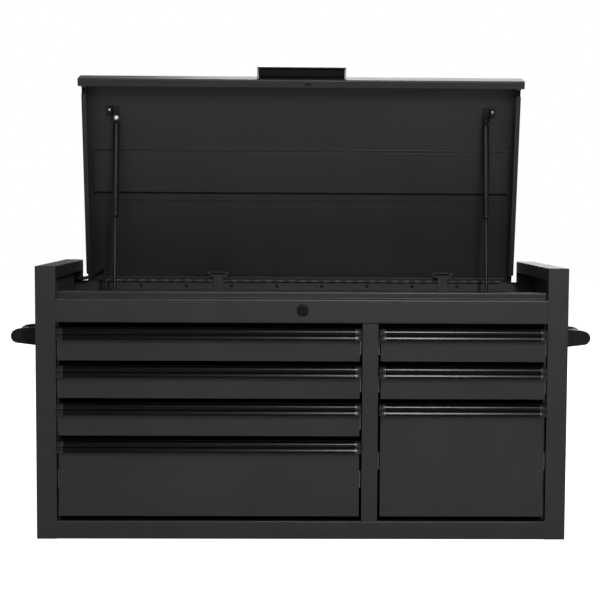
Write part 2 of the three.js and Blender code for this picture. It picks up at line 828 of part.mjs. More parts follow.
function strutTube() {
  const top = strut_length;
  const shoulder = top - tube_head;
  const body = turned([
    [0, shoulder - tube_length],
    [tube_radius, shoulder - tube_length],
    [tube_radius, shoulder - tube_end_wall],
    [tube_radius - tube_end_wall / 2, shoulder],
    [rod_radius, shoulder],
    [rod_radius, top],
    [0, top],
  ], 0);
  const ball = solid(new THREE.SphereGeometry(strut_ball, small_sides, small_sides / 2).translate(0, 0, top));
  const bore_top = shoulder - tube_end_wall * 2;
  const bore = disc([0, 0], tube_bore, "z", [shoulder - tube_length - overrun, bore_top]);
  return cut(join(body, ball), bore);
}

function floorBracket(side) {
  const inner = side * (strut_x - eye_width / 2);
  const ear = [side * (strut_x + eye_width / 2 + fit_gap), side * (strut_x + eye_width / 2 + fit_gap + foot_plate)];
  const base_z = [till_z + fit_gap, till_z + fit_gap + foot_plate];
  const ys = [foot[0] - foot_length / 2, foot[0] + foot_length / 2];
  const top = foot[1] + eye_radius;
  const outline = [[ys[0], base_z[0]], [ys[1], base_z[0]], [ys[1], base_z[1]], [foot[0] + eye_radius, top]];
  outline.push([foot[0] - eye_radius, top], [ys[0], base_z[1]]);
  return join(
    block([inner, ear[1]], ys, base_z),
    prism(outline, "x", ear),
    disc(foot, foot_pin, "x", [inner, ear[1]]),
  );
}

function lidBracket(side) {
  const ear_x = strut_x + tube_radius + bracket_plate;
  const base_z = [skin_under - fit_gap - bracket_plate, skin_under - fit_gap];
  const y_mid = -strut_lid_u - bracket_length / 2;
  const base_y = [y_mid - bracket_length / 2, y_mid + bracket_length / 2];
  const base_x = [side * (ear_x - bracket_width / 2), side * (ear_x + bracket_width / 2)];
  const ear = [[base_y[0], base_z[1]], [base_y[1], base_z[1]]];
  ear.push(...arc([-strut_lid_u, strut_lid_w], eye_radius, 0, -Math.PI * 0.8));
  return join(
    block(base_x, base_y, base_z),
    prism(ear, "x", [side * ear_x, side * (ear_x + bracket_plate)]),
    disc([-strut_lid_u, strut_lid_w], stud_radius, "x", [side * (strut_x + strut_ball + fit_gap), side * (ear_x + sheet)]),
  );
}

// Cylinder lock: housing, and the plug with a hooked cam that rises through the ledge

function lockHousing() {
  const bezel = disc([0, lock_z], bezel_radius, "y", [front - fit_gap - bezel_proud, front - fit_gap], round_sides);
  const barrel = disc([0, lock_z], barrel_radius, "y", [front - fit_gap - bezel_proud, cam_y - fit_gap], round_sides);
  const bore = disc([0, lock_z], plug_radius + plug_play, "y", [front - overrun, cam_y + overrun], round_sides);
  return cut(join(bezel, barrel), bore);
}

function keyPlug() {
  const face = front - fit_gap - bezel_proud - plug_proud;
  const core = disc([0, lock_z], plug_radius, "y", [face, cam_y + cam_thick], round_sides);
  const slot = block([-key_slot_width / 2, key_slot_width / 2], [face - overrun, face + key_slot_deep], [
    lock_z - key_slot_height / 2,
    lock_z + key_slot_height / 2,
  ]);
  const cam_y_span = [cam_y, cam_y + cam_thick];
  const ring = [
    ...arc([0, lock_z], cam_outer, cam_start, cam_start + cam_span),
    ...arc([0, lock_z], cam_inner, cam_start + cam_span, cam_start),
  ];
  const angle = cam_start + cam_arm / 2 / cam_outer;
  const spoke = [[0, -cam_arm / 2], [cam_inner + fit_gap, -cam_arm / 2], [cam_inner + fit_gap, cam_arm / 2], [0, cam_arm / 2]];
  const arm = spoke.map(([out, aside]) => [
    out * Math.cos(angle) - aside * Math.sin(angle),
    lock_z + out * Math.sin(angle) + aside * Math.cos(angle),
  ]);
  return join(cut(core, slot), prism(ring, "y", cam_y_span), prism(arm, "y", cam_y_span));
}

// Lock bars: one per bank, a hook over the back edge of each drawer box and a head that the lid's tab pushes down

function lockBar(bank, x) {
  const ys = [bar_y, bar_y + bar_thick];
  const head_top = hinge_z + bar_head_rise;
  const neck_z = head_top - bar_head_height;
  const outline = [[x - bar_width / 2, bar_foot], [x + bar_width / 2, bar_foot], [x + bar_width / 2, neck_z]];
  outline.push([x + bar_neck_width / 2, neck_z], [x + bar_head_width / 2, head_top], [x - bar_head_width / 2, head_top]);
  outline.push([x - bar_neck_width / 2, neck_z], [x - bar_width / 2, neck_z]);
  const shelf = block([x - bar_neck_width / 2, x + bar_neck_width / 2], [bar_y - bar_head_shelf, bar_y + bar_thick], [
    head_top - bar_thick,
    head_top,
  ]);
  const hooks = rowsOf(bank).map((row) => {
    const lip_low = row.box[1] + hook_clear;
    const xs = [x - hook_width / 2, x + hook_width / 2];
    const arm_z = lip_low + hook_drop;
    const arm = block(xs, [hook_y, bar_y + bar_thick / 2], [arm_z - hook_thick, arm_z]);
    return join(arm, block(xs, [hook_y, hook_y + hook_thick], [lip_low, arm_z]));
  });
  return join(prism(outline, "y", ys), shelf, hooks);
}

// Side handles: two flared arms and a round grip

function sideHandle(side) {
  const z = case_height - handle_drop;
  const wall = half + fit_gap;
  const tip = [half + handle_reach - handle_radius, z];
  const root_half = handle_root / 2;
  const arm = [
    [wall, z - root_half],
    ...arc(tip, handle_radius, -Math.PI * 0.45, Math.PI * 0.45, arc_steps * 2),
    [wall, z + root_half],
  ];
  const arms = [-1, 1].map((end) => {
    const outside = (end * handle_length) / 2;
    const inside = outside - end * handle_arm;
    const plate = block([side * wall, side * (wall + handle_foot)], [outside, inside - end * handle_foot_over], [
      z - root_half - handle_foot_over,
      z + root_half + handle_foot_over,
    ]);
    return join(prism(flip(arm, side), "y", [outside, inside]), plate);
  });
  const grip = disc([side * tip[0], z], handle_grip, "y", [-handle_length / 2 + sheet, handle_length / 2 - sheet], round_sides);
  return join(arms, grip);
}

// Power strip on the till's left wall, its cord, the coil of the cord's spare length, and the plug

const strip_rear = strip_front + strip_length + front;
const strip_z = case_height - strip_top_drop - strip_height / 2;
const relief_x = -half + sheet + fit_gap + strip_depth / 2;
const relief_z = strip_z + strip_height / 2 - relief_radius - strip_chamfer / 2;

function powerStrip() {
  const x0 = -half + sheet + fit_gap;
  const x1 = x0 + strip_depth;
  const [z0, z1] = [strip_z - strip_height / 2, strip_z + strip_height / 2];
  const c = strip_chamfer;
  const outline = [[x0, z0], [x1 - c, z0], [x1, z0 + c], [x1, z1 - c], [x1 - c, z1], [x0, z1]];
  const start = strip_front + front;
  const body = prism(outline, "y", [start, strip_rear]);
  const outlets = Array.from({ length: outlet_count }, (_, i) => {
    const y = start + (strip_length * (i + 0.5)) / outlet_count;
    return block([x1 - outlet_deep, x1 + overrun], [y - outlet_size / 2, y + outlet_size / 2], [
      strip_z - outlet_size / 2,
      strip_z + outlet_size / 2,
    ]);
  });
  const profile = [[0, 0], [relief_radius, 0], [cord_radius * 1.2, relief_length], [0, relief_length]];
  const cone = new THREE.LatheGeometry(profile.map(([r, h]) => new THREE.Vector2(r, h)), small_sides);
  const relief = solid(cone.translate(relief_x, strip_rear - sheet, relief_z));
  return join(cut(body, outlets), relief);
}

const cord_rest = till_z + fit_gap + cord_radius;
const cord_start = [relief_x, strip_rear - sheet + relief_length + fit_gap, relief_z];
const coil_entry = [coil_centre[0] + coil_radius, coil_centre[1] + coil_lead / 2, cord_rest];
const cord_route = [
  cord_start,
  [cord_start[0], cord_start[1] + 2 * cord_radius, relief_z],
  [-501.7, 150, 499.5],
  [-502.7, 164.8, 499.6],
  [-502.2, 182.1, 497.8],
  [-494.3, 199.8, 495.1],
  [-481.3, 210.8, 494.6],
  [-466.2, 215.3, 496.9],
  [-451.7, 213.5, 501.6],
  [-439.3, 205.2, 508.6],
  [-430.6, 190.6, 514.6],
  [-426.8, 175.5, 515.1],
  [-424.9, 161.1, 509.7],
  [-423.3, 150.3, 498.9],
  [-420.1, 142, 479.1],
  [-417.1, 136, 462.3],
  [-414.3, 122.3, 446],
  [-412.7, 104.2, 438.1],
  [-410.8, 88.1, 437.3],
  [coil_entry[0], coil_entry[1] + 2 * cord_radius, cord_rest],
  [coil_entry[0], coil_entry[1] + fit_gap, cord_rest],
];

function tube(curve, radius, facets, steps) {
  const section = new THREE.Shape(arc([0, 0], radius, 0, (2 * Math.PI * (facets - 1)) / facets, facets - 1)
    .map(([a, b]) => new THREE.Vector2(a, b)));
  return solid(new THREE.ExtrudeGeometry(section, { extrudePath: curve, steps: Math.round(steps), bevelEnabled: false }));
}

function powerCord() {
  const curve = new THREE.CatmullRomCurve3(cord_route.map((p) => new THREE.Vector3(...p)), false, "centripetal");
  return tube(curve, cord_radius, cord_facets, cord_steps);
}

// The coil: in at the rear on the floor, three turns inwards, a half turn up, three turns out on top
class CoilCurve extends THREE.Curve {
  constructor() {
    super();
    this.angle = 4 * Math.PI * coil_turns;
    this.inner = coil_radius - coil_pitch * coil_turns;
    this.wound = this.angle * (coil_radius + this.inner) / 2;
    this.length = this.wound + coil_lead / 2 + coil_lead;
  }

  getPoint(t, target = new THREE.Vector3()) {
    const along = t * this.length;
    const x = coil_centre[0] + coil_radius;
    if (along < coil_lead / 2) return target.set(x, coil_entry[1] - along, cord_rest);
    if (along > this.length - coil_lead) {
      const past = along - this.length + coil_lead;
      return target.set(x, coil_centre[1] - past, cord_rest + coil_pitch);
    }
    const turn = ((along - coil_lead / 2) / this.wound) * this.angle;
    const middle = this.angle / 2;
    const radius = this.inner + (coil_pitch * Math.abs(turn - middle)) / (2 * Math.PI);
    const climb = THREE.MathUtils.smoothstep(turn, middle - Math.PI / 2, middle + Math.PI / 2);
    const [cx, cy] = coil_centre;
    return target.set(cx + radius * Math.cos(turn), cy - radius * Math.sin(turn), cord_rest + climb * coil_pitch);
  }
}

const coil_curve = new CoilCurve();
const coil_end_y = coil_centre[1] - coil_lead;

function leastCoilGap() {
  const points = coil_curve.getSpacedPoints(coil_steps * coil_turns * 4);
  const step = coil_curve.length / points.length;
  const skip = Math.ceil((cord_radius * 6) / step);
  let least = Infinity;
  points.forEach((p, i) => points.slice(i + skip).forEach((q) => {
    least = Math.min(least, p.distanceTo(q) - 2 * cord_radius);
  }));
  return least;
}

function powerPlug() {
  const z = cord_rest + coil_pitch;
  const x = coil_centre[0] + coil_radius;
  const neck_y = coil_end_y - fit_gap;
  const [width, length, height] = plug_body;
  const neck = disc([x, z], cord_radius + sheet, "y", [neck_y - plug_neck, neck_y]);
  const body_y = [neck_y - plug_neck - length, neck_y - plug_neck + sheet];
  const low = till_z + fit_gap;
  const taper = [[x - width / 2, body_y[0]], [x + width / 2, body_y[0]], [x + width / 2, body_y[1] - plug_neck]];
  taper.push([x + width / 4, body_y[1]], [x - width / 4, body_y[1]], [x - width / 2, body_y[1] - plug_neck]);
  const body = prism(taper, "z", [low, low + height]);
  const blades = [-1, 1].map((side) => {
    const bx = x + (side * plug_blade_gap) / 2;
    return block([bx - plug_blade[0] / 2, bx + plug_blade[0] / 2], [body_y[0] - plug_blade[1], body_y[0] + sheet], [
      low + height / 2 - plug_blade[2] / 2,
      low + height / 2 + plug_blade[2] / 2,
    ]);
  });
  return join(neck, body, blades);
}

// Assembly

place("left_side_panel", sidePanel(-1), charcoal);
place("right_side_panel", sidePanel(1), charcoal);
place("back_panel", backPanel(), charcoal);
place("bottom_pan", bottomPan(), charcoal);
place("top_rail", topRail(), charcoal);
place("bank_divider", bankDivider(), charcoal);
place("till_floor", tillFloor(), charcoal);
place("left_slide_rack", slideRack(-1), zinc);
place("right_slide_rack", slideRack(1), zinc);
place("left_side_handle", sideHandle(-1), black_plastic);
place("right_side_handle", sideHandle(1), black_plastic);

const leaf = place("hinge_body_leaf", hingeBodyLeaf(), charcoal);
leaf.position.set(0, hinge_y, hinge_z);
place("hinge_lid_leaf", hingeLidLeaf(), charcoal, lid_group);
place("lid", lid(), charcoal, lid_group);
place("lid_stiffener", lidStiffener(), charcoal, lid_group);
place("lid_handle", lidHandle(), black_gloss, lid_group);

for (const [name, side] of [["left", -1], ["right", 1]]) {
  const group = strutGroup(side);
  place(name + "_strut_rod", strutRod(), steel, group);
  place(name + "_strut_tube", strutTube(), black_gloss, group);
  place(name + "_strut_floor_bracket", floorBracket(side), black_gloss);
  place(name + "_strut_lid_bracket", lidBracket(side), black_gloss, lid_group);
}

place("lock_housing", lockHousing(), black_gloss);
place("key_plug", keyPlug(), black_gloss);
banks.forEach((bank, i) => place(bank.name + "_lock_bar", lockBar(bank, bar_centres[i]), black_gloss));

for (const bank of banks) {
  for (const row of rowsOf(bank)) {
    place(row.name, drawer(bank, row), charcoal);
    place(row.name + "_pull", drawerPull(bank, row), black_gloss);
    place(row.name + "_slide_left", middleMember(bank.left, 1, row.slide_z), zinc);
    place(row.name + "_slide_right", middleMember(bank.right, -1, row.slide_z), zinc);
  }
}

place("power_strip", powerStrip(), black_plastic);
place("power_cord", powerCord(), black_plastic);
place("cord_coil", tube(coil_curve, cord_radius, coil_facets, coil_steps * coil_turns * 2 + 8), black_plastic);
place("power_plug", powerPlug(), black_plastic);
console.log("least gap in the coil " + leastCoilGap().toFixed(2) + " mm");

export default root;
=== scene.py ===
from math import cos, pi, radians, sin

import bpy
import numpy as np
from mathutils import Matrix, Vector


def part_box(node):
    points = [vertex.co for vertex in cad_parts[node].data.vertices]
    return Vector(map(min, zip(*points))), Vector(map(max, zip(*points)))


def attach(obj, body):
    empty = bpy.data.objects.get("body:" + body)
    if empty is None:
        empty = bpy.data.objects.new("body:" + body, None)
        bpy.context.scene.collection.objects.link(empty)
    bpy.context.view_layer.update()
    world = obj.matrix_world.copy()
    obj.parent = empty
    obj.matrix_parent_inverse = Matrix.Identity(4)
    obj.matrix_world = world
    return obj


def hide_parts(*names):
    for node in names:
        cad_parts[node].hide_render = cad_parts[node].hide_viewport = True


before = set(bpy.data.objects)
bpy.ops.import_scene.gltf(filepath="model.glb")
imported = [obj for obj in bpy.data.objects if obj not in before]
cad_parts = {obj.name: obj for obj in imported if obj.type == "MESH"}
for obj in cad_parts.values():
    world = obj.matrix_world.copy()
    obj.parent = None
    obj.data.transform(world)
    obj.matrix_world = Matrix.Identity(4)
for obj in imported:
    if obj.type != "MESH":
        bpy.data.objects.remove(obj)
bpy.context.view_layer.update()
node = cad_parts

# Camera: a long lens in front of the chest and a little above it, turned slightly to the right. Its place,
# turn, focal length and optical centre, the last two in pixels, are a fitting program's for the photograph.
photo_px, sensor_mm, focal_px = 600, 36, 1667.72
centre_px = (317.15, 354.51)
camera_place = (-0.03849, -3.47462, 0.64431)
camera = bpy.data.objects.new("camera", bpy.data.cameras.new("camera"))
bpy.context.scene.collection.objects.link(camera)
yaw, pitch, roll = radians(1.1871), radians(-4.9032), radians(0.3235)
ahead = np.array([sin(yaw) * cos(pitch), cos(yaw) * cos(pitch), sin(pitch)])
level = np.array([cos(yaw), -sin(yaw), 0.0])
upright = np.cross(level, ahead)
across, above = cos(roll) * level + sin(roll) * upright, cos(roll) * upright - sin(roll) * level
camera.matrix_world = Matrix(
    [[across[i], above[i], -ahead[i], camera_place[i]] for i in range(3)] + [[0, 0, 0, 1]])
camera.data.lens = focal_px / photo_px * sensor_mm
camera.data.shift_x = (photo_px / 2 - centre_px[0]) / photo_px
camera.data.shift_y = (centre_px[1] - photo_px / 2) / photo_px
camera.data.clip_end = 60
bpy.context.scene.camera = camera


# Power cord: a round black rubber mains lead that leaves the rear end of the power strip, crosses the notch
# at the lid's corner and drops into the till, where its spare length lies wound into a coil of two layers.
def surface(name, points, close_u=False, close_v=False, cap=False, sharp=40):
    """A mesh on a grid of points (u, v, xyz): each cell is a face, and close_u or close_v joins a side
    to the one across from it. cap fills the first and last rows of u with one face each."""
    rows, cols = points.shape[:2]
    u, v = np.meshgrid(np.arange(rows - (not close_u)), np.arange(cols - (not close_v)), indexing="ij")
    u1, v1 = (u + 1) % rows, (v + 1) % cols
    faces = np.stack([u * cols + v, u1 * cols + v, u1 * cols + v1, u * cols + v1], -1).reshape(-1, 4).tolist()
    if cap:
        faces += [np.arange(cols).tolist(), ((rows - 1) * cols + np.arange(cols))[::-1].tolist()]
    mesh = bpy.data.meshes.new(name)
    mesh.from_pydata(points.reshape(-1, 3).tolist(), [], faces)
    return finished(name, mesh, sharp)


def finished(name, mesh, sharp=40):
    """A piece from a mesh: shaded smooth, with edges sharper than an angle in degrees kept crisp."""
    mesh.validate()
    mesh.polygons.foreach_set("use_smooth", np.ones(len(mesh.polygons), bool))
    mesh.set_sharp_from_angle(angle=radians(sharp))
    piece = bpy.data.objects.new(name, mesh)
    bpy.context.scene.collection.objects.link(piece)
    return piece


def round_tube(name, path, radius, sides):
    """Circles of a radius carried along a path: each circle stands square to the path's direction, and
    its first point is the last circle's first point moved straight across."""
    along = np.gradient(path, axis=0)
    along /= np.linalg.norm(along, axis=1, keepdims=True)
    aside = np.empty_like(path)
    start = np.cross(along[0], [0.3, 0.2, 1.0])
    for i, direction in enumerate(along):
        start = start - direction * (start @ direction)
        start = start / np.linalg.norm(start)
        aside[i] = start
    over = np.cross(along, aside)
    angle = np.linspace(0, 2 * pi, sides, endpoint=False)[None, :, None]
    radius = np.broadcast_to(np.asarray(radius, float), (len(path),))[:, None, None]
    rings = path[:, None] + radius * (np.cos(angle) * aside[:, None] + np.sin(angle) * over[:, None])
    return surface(name, rings[:, ::-1], close_v=True, cap=True)


def through(points, steps):
    """The centripetal Catmull-Rom curve through points: between two of them, three rounds of straight
    blends by the square root of the distances from point to point."""
    p = np.vstack([2 * points[0] - points[1], points, 2 * points[-1] - points[-2]])
    knots = np.concatenate([[0], np.cumsum(np.linalg.norm(np.diff(p, axis=0), axis=1) ** 0.5)])
    t = np.linspace(knots[1], knots[-2], steps)
    i = np.clip(np.searchsorted(knots, t, "right") - 1, 1, len(points) - 1)
    t = t[:, None]
    k = [knots[i + j][:, None] for j in (-1, 0, 1, 2)]
    q = [p[i + j] for j in (-1, 0, 1, 2)]
    mix = lambda a, b, ta, tb: a * (tb - t) / (tb - ta) + b * (t - ta) / (tb - ta)
    a = [mix(q[j], q[j + 1], k[j], k[j + 1]) for j in range(3)]
    b = [mix(a[j], a[j + 1], k[j], k[j + 2]) for j in range(2)]
    return mix(b[0], b[1], k[1], k[2])


cord_radius, seat_gap = 0.004, 0.0003
coil_radius, coil_pitch, coil_turns = 0.05375, 0.0085, 2.5
lead_start, coil_lead = 0.006, 0.036
coil_x, coil_y, cord_rest = -0.4605, 0.040, 0.4373
route_points, coil_points, lead_points, cord_sides = 220, 480, 6, 16
# All points of the route but the first two and the last two were moved by a fitting program, for wide bends
cord_route = np.array([
    [-0.502, 0.1271, 0.4995], [-0.502, 0.1351, 0.4995], [-0.5017, 0.15, 0.4995],
    [-0.5027, 0.1648, 0.4996], [-0.5022, 0.1821, 0.4978], [-0.4943, 0.1998, 0.4951],
    [-0.4813, 0.2108, 0.4946], [-0.4662, 0.2153, 0.4969], [-0.4517, 0.2135, 0.5016],
    [-0.4393, 0.2052, 0.5086], [-0.4306, 0.1906, 0.5146], [-0.4268, 0.1755, 0.5151],
    [-0.4249, 0.1611, 0.5097], [-0.4233, 0.1503, 0.4989], [-0.4201, 0.142, 0.4791],
    [-0.4171, 0.136, 0.4623], [-0.4143, 0.1223, 0.446], [-0.4127, 0.1042, 0.4381],
    [-0.4108, 0.0881, 0.4373], [-0.40675, 0.0663, 0.4373], [-0.40675, 0.0586, 0.4373],
])
cord_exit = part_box("power_strip")[1][1] + seat_gap
cord_route[:2, 1] += cord_exit - cord_route[0, 1]
turn = np.linspace(0, 4 * pi * coil_turns, coil_points)
middle = turn[-1] / 2
winding = coil_radius - coil_pitch * coil_turns + coil_pitch * abs(turn - middle) / (2 * pi)
climb = np.clip((turn - middle + pi / 2) / pi, 0, 1)
climb = climb * climb * (3 - 2 * climb)
coil = np.stack([
    coil_x + winding * np.cos(turn),
    coil_y - winding * np.sin(turn),
    cord_rest + climb * coil_pitch,
], -1)
lead = np.stack([
    np.full(lead_points, coil_x + coil_radius),
    np.linspace(coil_y - lead_start, coil_y - coil_lead, lead_points),
    np.full(lead_points, cord_rest + coil_pitch),
], -1)
cord_path = np.vstack([through(cord_route, route_points), coil, lead])
cord = round_tube("mains_lead", cord_path, cord_radius, cord_sides)
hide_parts("power_cord", "cord_coil")
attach(cord, "case")


def shader_group(name, inputs, outputs):
    """An empty node group with named inputs (name, type, default) and outputs (name, type)."""
    group = bpy.data.node_groups.new(name, "ShaderNodeTree")
    for title, kind, value in inputs:
        socket = group.interface.new_socket(title, in_out="INPUT", socket_type=kind)
        if value is not None:
            socket.default_value = value
    for title, kind in outputs:
        group.interface.new_socket(title, in_out="OUTPUT", socket_type=kind)
    return group, group.nodes.new("NodeGroupInput"), group.nodes.new("NodeGroupOutput")


def step(tree, kind, settings=None, **inputs):
    """A node of a kind in a tree, with its settings, and each input set to a value or a socket. An input
    is given by its name, or by i and its number."""
    made = tree.nodes.new("ShaderNode" + kind)
    for key, value in (settings or {}).items():
        setattr(made, key, value)
    for key, value in inputs.items():
        numbered = key[0] == "i" and key[1:].isdigit()
        socket = made.inputs[int(key[1:]) if numbered else key.replace("_", " ")]
        if isinstance(value, bpy.types.NodeSocket):
            tree.links.new(value, socket)
        else:
            socket.default_value = value
    return made


# The finish group: two tones and a roughness spread in slow clouds, fine grain in height, and faint rubbed
# marks that are rougher
finish_group, taken, given = shader_group(
    "grained finish",
    [("Vector", "NodeSocketVector", None), ("Tone", "NodeSocketColor", (0.03, 0.03, 0.03, 1)),
     ("Second Tone", "NodeSocketColor", (0.04, 0.04, 0.04, 1)), ("Roughness", "NodeSocketFloat", 0.4),
     ("Roughness Spread", "NodeSocketFloat", 0.08), ("Grain Scale", "NodeSocketFloat", 900.0),
     ("Cloud Scale", "NodeSocketFloat", 7.0), ("Rub", "NodeSocketFloat", 0.1)],
    [("Color", "NodeSocketColor"), ("Roughness", "NodeSocketFloat"), ("Height", "NodeSocketFloat")],
)
t = finish_group
clouds = step(t, "TexNoise", {"noise_dimensions": "3D"}, Vector=taken.outputs["Vector"],
              Scale=taken.outputs["Cloud Scale"], Detail=4.0, Roughness=0.6)
grain = step(t, "TexNoise", None, Vector=taken.outputs["Vector"], Scale=taken.outputs["Grain Scale"],
             Detail=2.0, Roughness=0.55)
pebbles = step(t, "TexVoronoi", {"feature": "SMOOTH_F1"}, Vector=taken.outputs["Vector"],
               Scale=taken.outputs["Grain Scale"], Smoothness=0.8)
stretched = step(t, "Mapping", None, Vector=taken.outputs["Vector"], Scale=(14.0, 14.0, 160.0))
rub = step(t, "TexNoise", None, Vector=stretched.outputs["Vector"], Scale=3.0, Detail=5.0, Roughness=0.7)
rub_mask = step(t, "MapRange", None, Value=rub.outputs["Fac"], From_Min=0.58, From_Max=0.8, To_Min=0.0,
                To_Max=taken.outputs["Rub"])
tone_mask = step(t, "MapRange", None, Value=clouds.outputs["Fac"], From_Min=0.35, From_Max=0.65)
tone = step(t, "Mix", {"data_type": "RGBA"}, i0=tone_mask.outputs["Result"], i6=taken.outputs["Tone"],
            i7=taken.outputs["Second Tone"])
spread = step(t, "Math", {"operation": "MULTIPLY_ADD"}, i0=clouds.outputs["Fac"],
              i1=taken.outputs["Roughness Spread"], i2=taken.outputs["Roughness"])
rougher = step(t, "Math", {"operation": "ADD"}, i0=spread.outputs["Value"], i1=rub_mask.outputs["Result"])
height = step(t, "Math", {"operation": "MULTIPLY_ADD"}, i0=pebbles.outputs["Distance"], i1=0.6,
              i2=grain.outputs["Fac"])
t.links.new(tone.outputs[2], given.inputs["Color"])
t.links.new(rougher.outputs["Value"], given.inputs["Roughness"])
t.links.new(height.outputs["Value"], given.inputs["Height"])


def finish(name, tone, second, roughness, spread=0.08, grain=900.0, depth=0.00004, clouds=7.0, rub=0.1,
           metallic=0.0, level=0.5, edge=0.0):
    """A material whose colour, roughness and small relief come from the grained finish group. An edge
    radius softens the light on sharp corners."""
    made = bpy.data.materials.new(name)
    made.use_nodes = True
    tree = made.node_tree
    shader = tree.nodes["Principled BSDF"]
    place = step(tree, "TexCoord")
    grained = step(tree, "Group", {"node_tree": finish_group}, Vector=place.outputs["Object"],
                   Tone=(*tone, 1), Second_Tone=(*second, 1), Roughness=roughness, Roughness_Spread=spread,
                   Grain_Scale=grain, Cloud_Scale=clouds, Rub=rub)
    bump = step(tree, "Bump", None, Strength=1.0, Distance=depth, Height=grained.outputs["Height"])
    tree.links.new(grained.outputs["Color"], shader.inputs["Base Color"])
    tree.links.new(grained.outputs["Roughness"], shader.inputs["Roughness"])
    tree.links.new(bump.outputs["Normal"], shader.inputs["Normal"])
    if edge:
        soft = step(tree, "Bevel", {"samples": 4}, Radius=edge)
        tree.links.new(soft.outputs["Normal"], bump.inputs["Normal"])
    shader.inputs["Metallic"].default_value = metallic
    shader.inputs["Specular IOR Level"].default_value = level
    return made


def dress(material, *pieces):
    """Puts one material on pieces, given as objects or as the names of CAD nodes."""
    for piece in pieces:
        piece = node[piece] if isinstance(piece, str) else piece
        piece.data.materials.clear()
        piece.data.materials.append(material)


cord_rubber = finish("cord rubber", (0.004, 0.004, 0.0045), (0.006, 0.006, 0.0065), 0.60, grain=1500,
                     depth=0.00003, level=0.25)
dress(cord_rubber, cord)

# Plug: a moulded black body on the end of the lead, with a ribbed neck and two folded brass blades.
# It lies flat on the till floor, and its underside is cut level where it rests.
plug_rest, plug_half, plug_length, plug_low = 0.4333, 0.011, 0.043, 0.4334
plug_sides, plug_square, blade_corners = 40, 0.55, 6
plug_z, plug_x = plug_rest + plug_half, coil_x + coil_radius
neck_y = coil_y - coil_lead - seat_gap
along = np.array([0, 0.001, 0.003, 0.005, 0.007, 0.009, 0.0105, 0.014, 0.020, 0.030, 0.040, 0.0425, 0.043])
half_width = np.array([3.6, 4.6, 4.7, 4.3, 4.8, 5.4, 7.0, 9.6, 10.8, 11.0, 11.0, 10.2, 9.0]) / 1000
half_height = np.array([3.6, 4.6, 4.7, 4.3, 4.8, 5.4, 7.2, 9.8, 10.8, 11.0, 11.0, 10.2, 9.0]) / 1000
centre_z = np.interp(along, [0, 0.009, 0.014], [cord_rest + coil_pitch, cord_rest + coil_pitch, plug_z])
around = np.linspace(0, 2 * pi, plug_sides, endpoint=False)
corner = lambda value: np.sign(value) * abs(value) ** plug_square
body = np.stack([
    plug_x + half_width[:, None] * corner(np.cos(around)),
    np.broadcast_to(neck_y - along[:, None], (len(along), plug_sides)),
    np.maximum(centre_z[:, None] + half_height[:, None] * corner(np.sin(around)), plug_low),
], -1)
plug = surface("plug_body", body, close_v=True, cap=True, sharp=50)
moulded = finish("moulded plug", (0.012, 0.012, 0.013), (0.017, 0.017, 0.018), 0.45, grain=1200,
                 depth=0.00005)
dress(moulded, plug)
blade_outline = np.array([[-3.1, 0], [-3.1, -15.5], [-2.2, -17], [2.2, -17], [3.1, -15.5], [3.1, 0]]) / 1000
blade_x = plug_x + np.array([-0.00715, -0.00555, 0.00555, 0.00715])
blades = [surface(f"plug_blade_{i + 1}", np.stack([
    np.broadcast_to(pair[:, None], (2, blade_corners)),
    np.broadcast_to(neck_y - plug_length + blade_outline[:, 1], (2, blade_corners)),
    np.broadcast_to(plug_z + blade_outline[:, 0], (2, blade_corners)),
], -1)[:, ::-1], close_v=True, cap=True) for i, pair in enumerate((blade_x[:2], blade_x[2:]))]
brass = finish("blade brass", (0.55, 0.40, 0.18), (0.50, 0.35, 0.15), 0.28, metallic=1.0, grain=700,
               depth=0.00001)
dress(brass, *blades)
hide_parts("power_plug")
for piece in (plug, *blades):
    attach(piece, "case")

# Case: folded 1.2 mm sheet steel in charcoal powder coat, with a fine orange-peel skin.
# The side panels wrap into the front posts, and the rails, divider and floors are spot welded in. The
# hinge's leaf on the lid has a paler coat, a painted highlight for the light its knuckles catch.
charcoal = finish("charcoal powder coat", (0.0175, 0.0179, 0.019), (0.021, 0.0215, 0.0225), 0.36, spread=0.10,
                  grain=650, depth=0.00006, rub=0.06, level=0.31, edge=0.0009)
dress(charcoal, "left_side_panel", "right_side_panel", "back_panel", "bottom_pan", "top_rail", "bank_divider",
      "till_floor", "lid", "hinge_body_leaf")
# Paler than the case: painted highlight on the lid's hinge leaf and its knuckles.
leaf_painted_highlight = finish("hinge leaf painted highlight", (0.060, 0.061, 0.063), (0.075, 0.076, 0.078), 0.30, grain=650,
                   depth=0.00004)
dress(leaf_painted_highlight, "hinge_lid_leaf")

# Drawers: folded trays behind a pan-shaped front, in the case's charcoal coat, whose edge radius softens
# the light on the sheet's folds. Each runs on its slides.
rows = [f"left_drawer_{i}" for i in range(1, 5)] + [f"right_drawer_{i}" for i in range(1, 4)]
dress(charcoal, *rows)

# Pulls: one black extrusion across the top of each drawer, with a round shoulder over a crease and a broad
# nose that curls under for the fingers. A moulded plastic cap closes each end.
front_y = -0.2285
grip_inset, cap_edge, cap_reach, cap_proud, rim_inset = 0.0126, 0.0008, 0.0127, 0.0005, 0.0003
plate_front, pull_wall, pull_drop = 0.0018, 0.0017, 0.0234
shoulder_ahead, shoulder_round, crease_dip = 0.0009, 0.0085, 25.8
brow_round, nose_round, lip_round, nose_start = 0.0030, 0.0130, 0.00177, 140
trim = finish("black pull trim", (0.0016, 0.0016, 0.0018), (0.0024, 0.0024, 0.0026), 0.20, spread=0.03,
              grain=500, depth=0.00001, rub=0.04, level=0.14)
cap_plastic = finish("pull cap plastic", (0.0055, 0.0055, 0.006), (0.008, 0.008, 0.0085), 0.28, grain=1100,
                     depth=0.00005)


def bend_points(centre, radius, start, end, count=9):
    """Points on an arc around a centre, from one angle to another in degrees."""
    angle = np.radians(np.linspace(start, end, count))
    return np.stack([centre[0] + radius * np.cos(angle), centre[1] + radius * np.sin(angle)], -1)


